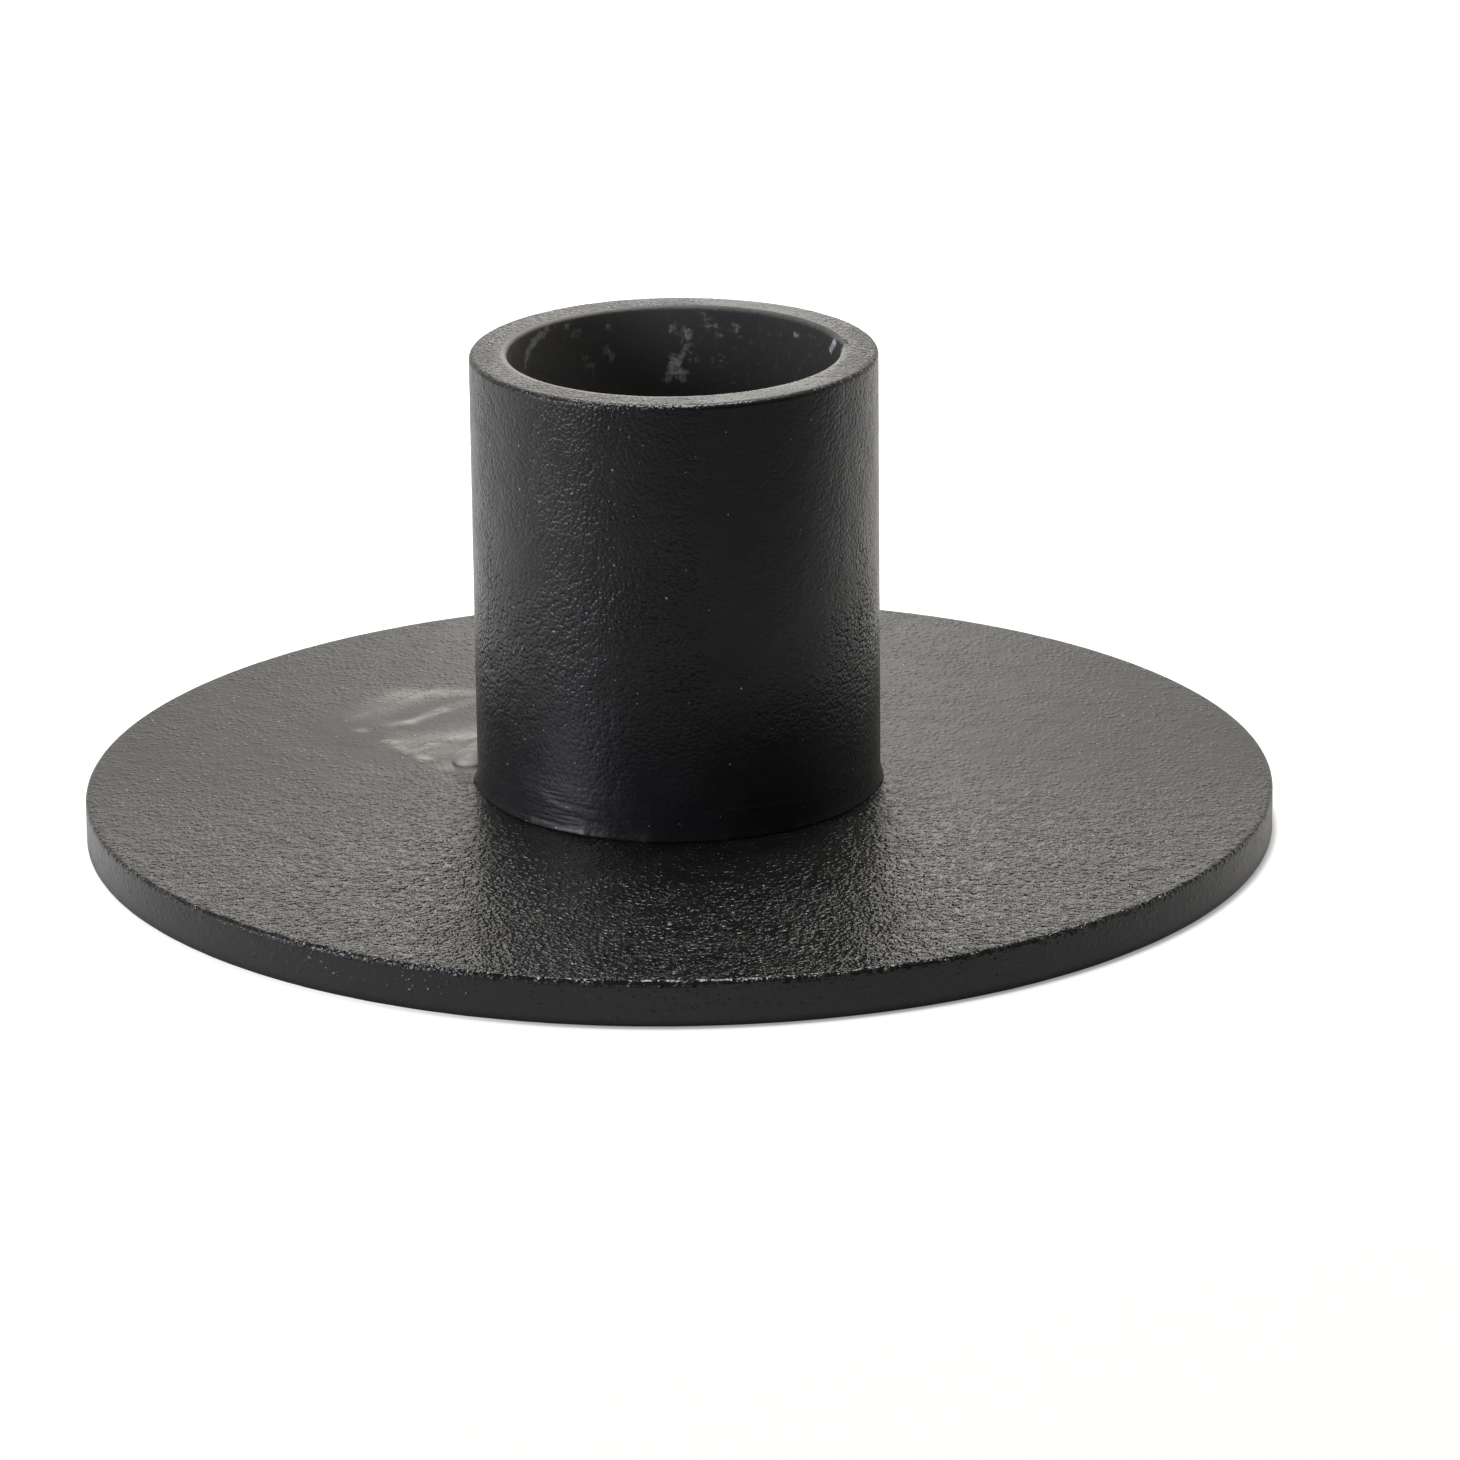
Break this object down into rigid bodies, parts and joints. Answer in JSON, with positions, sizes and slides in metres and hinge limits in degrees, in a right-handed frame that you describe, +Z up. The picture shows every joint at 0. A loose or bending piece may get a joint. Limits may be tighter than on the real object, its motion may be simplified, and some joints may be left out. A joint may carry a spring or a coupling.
{
  "type": "candle holder",
  "caption": "Low black steel candle holder: a short upright socket tube welded on the middle of a flat round base plate.",
  "frame": {"origin": "centre of the base plate's underside, on the surface that the holder stands on", "axes": "+Z up along the axis of the socket tube; +Y points away from the picture's camera and +X to its right"},
  "size_m": [0.0825, 0.0824, 0.034],
  "materials": {
    "plate_coat": "matte",
    "tube_coat": "matte",
    "weld_coat": "satin",
    "weld_gloss": "gloss"
  },
  "bodies": {
    "root": {"base_plate": "plate_coat", "socket_tube": "tube_coat", "seam_weld": "weld_coat", "weld_stop": "weld_gloss", "weld_spatter": "weld_gloss"}
  },
  "joints": []
}
